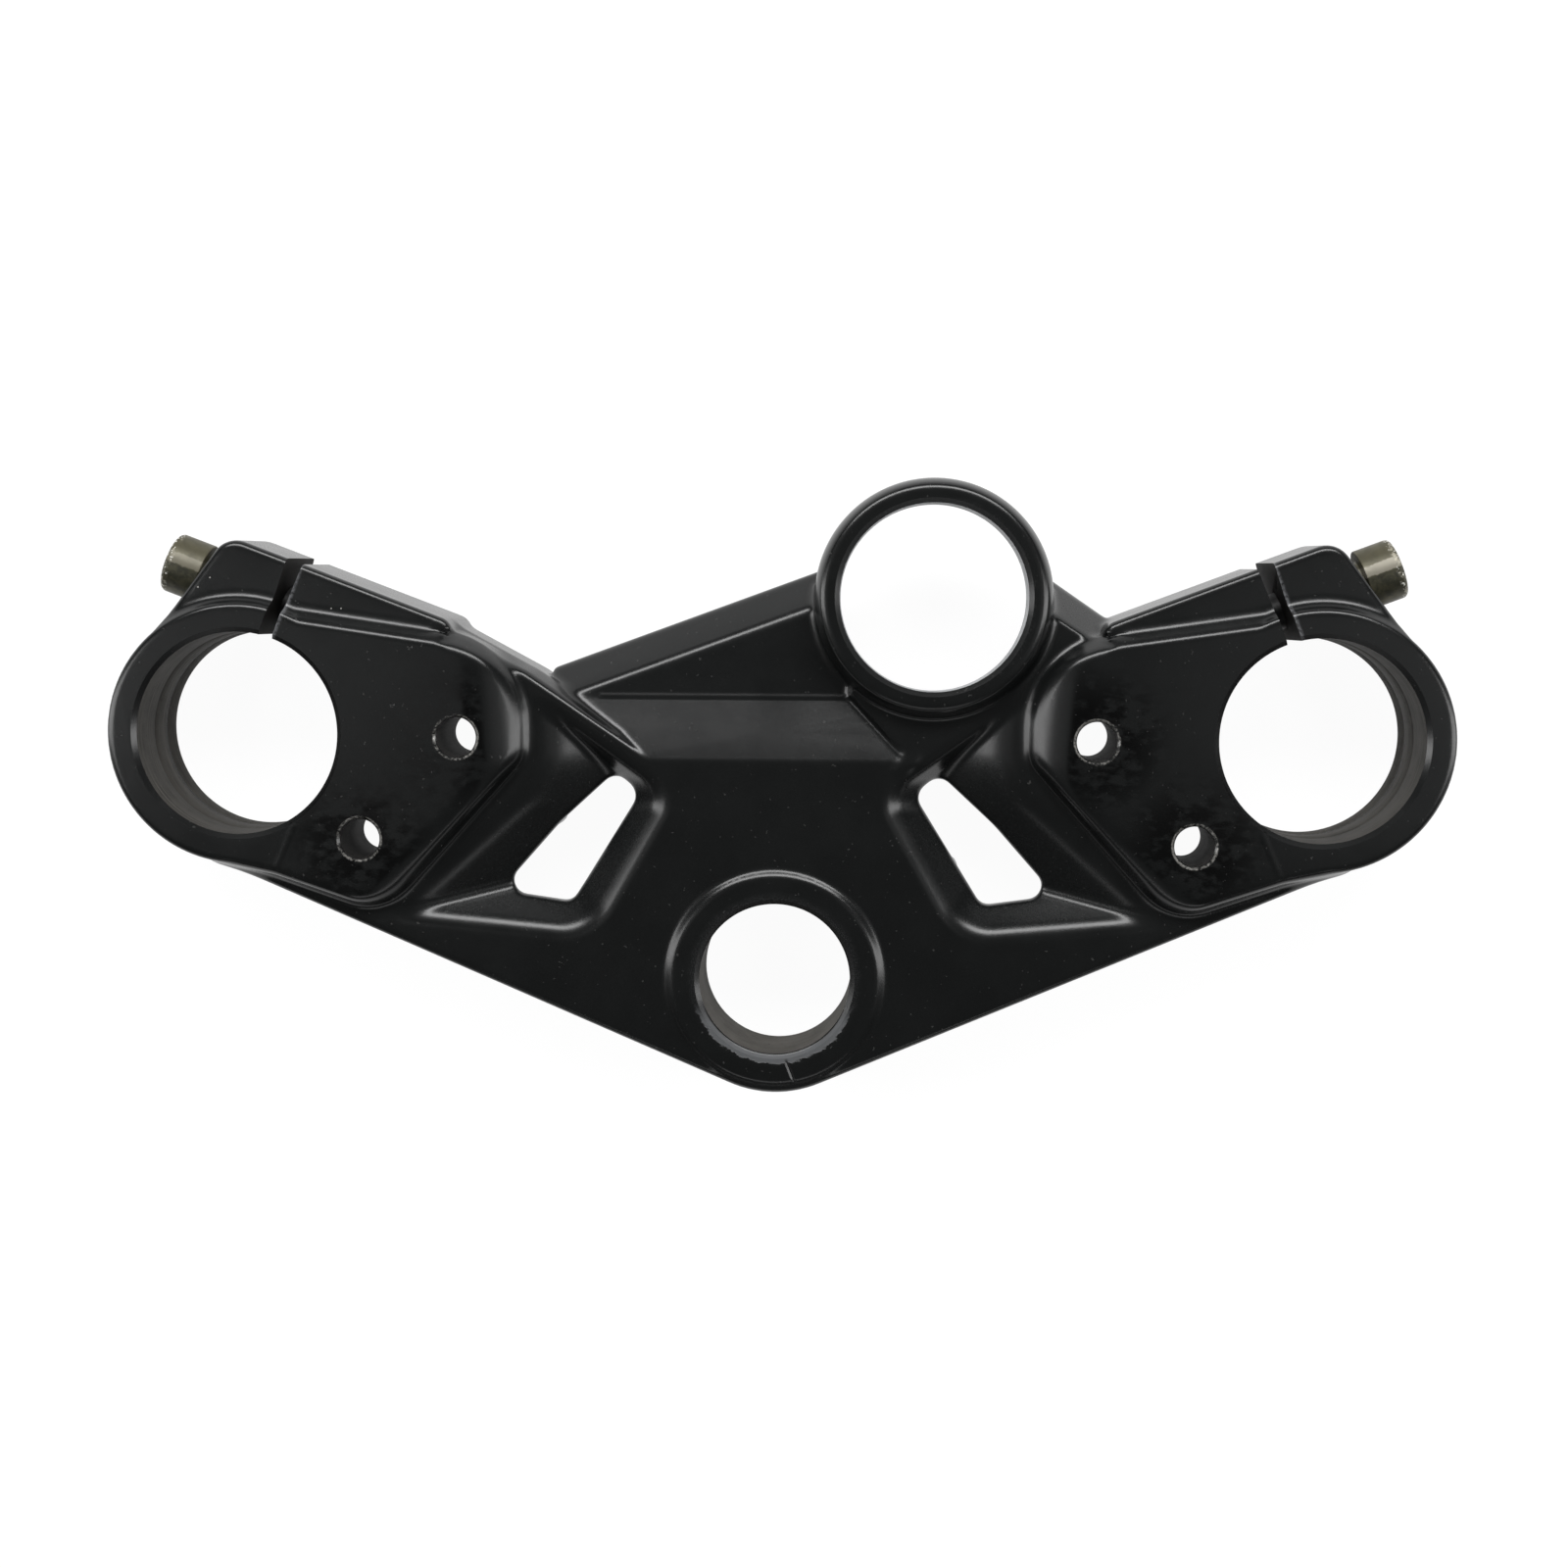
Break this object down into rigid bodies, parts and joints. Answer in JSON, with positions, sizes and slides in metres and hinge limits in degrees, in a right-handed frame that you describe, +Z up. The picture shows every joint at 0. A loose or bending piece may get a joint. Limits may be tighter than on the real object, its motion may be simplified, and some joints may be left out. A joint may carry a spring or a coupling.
{
  "type": "motorcycle handlebar mount (upper fork bridge)",
  "caption": "Cast upper fork bridge: two split fork clamps with pinch screws, stem boss, offset lock collar, and raised drilled pads for the handlebar mounts.",
  "frame": {"origin": "on the steering stem axis, at the lower face of the stem boss", "axes": "+Z up along the steering stem, +Y forwards from the stem to the fork line and the lock collar, +X across to the lock collar's side"},
  "size_m": [0.2844, 0.1313, 0.03],
  "materials": {
    "black_paint": "satin black paint on cast aluminium, bare machined bores",
    "plated_steel": "olive zinc plating, dull"
  },
  "bodies": {
    "root": {"top_yoke": "black_paint", "left_pinch_bolt": "plated_steel", "right_pinch_bolt": "plated_steel"}
  },
  "joints": []
}
